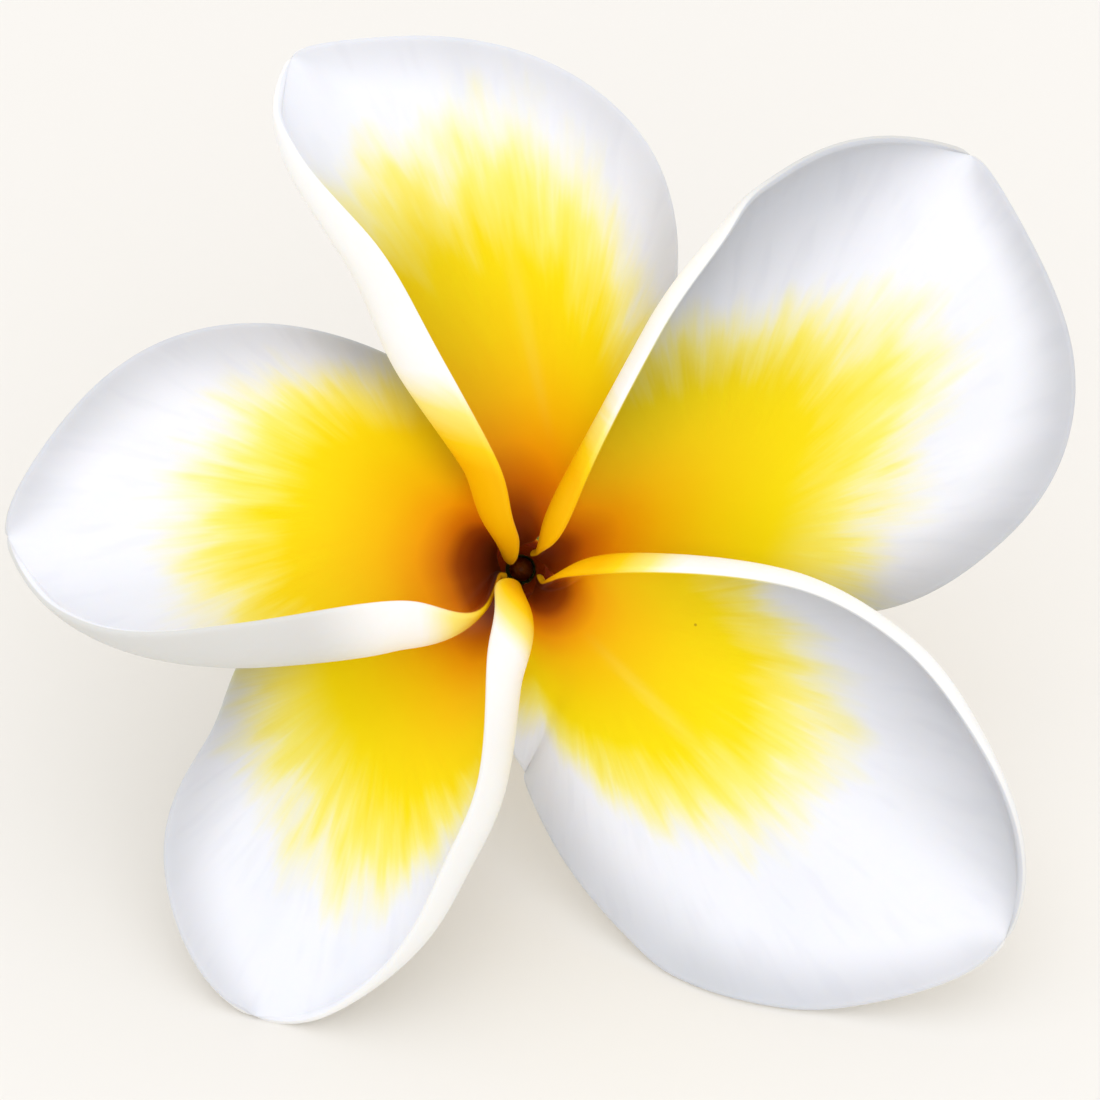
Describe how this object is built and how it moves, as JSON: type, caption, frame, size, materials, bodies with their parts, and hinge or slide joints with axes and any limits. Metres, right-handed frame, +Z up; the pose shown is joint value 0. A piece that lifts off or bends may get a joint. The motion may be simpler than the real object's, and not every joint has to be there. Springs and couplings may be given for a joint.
{
  "type": "plumeria flower",
  "caption": "Picked plumeria flower lying on a flat surface, with overlapping rolled petals on a slender tube, a calyx and a short stalk.",
  "frame": {"origin": "middle of the bounding box's base, on the surface that the flower lies on", "axes": "+Z up from the surface; the face of the flower leans back and looks up and towards -Y; +X to the right across the face"},
  "size_m": [0.0762, 0.0524, 0.0486],
  "materials": {
    "petal": "waxy white petal, deep yellow towards the throat, with a soft sheen",
    "tube": "waxy pale green and cream",
    "pistil": "moist pale green",
    "stalk": "smooth green skin with a soft sheen"
  },
  "bodies": {
    "root": {"petal_1": "petal", "petal_2": "petal", "petal_3": "petal", "petal_4": "petal", "petal_5": "petal", "corolla_tube": "tube", "pistil": "pistil", "calyx": "stalk", "stalk": "stalk"}
  },
  "joints": []
}
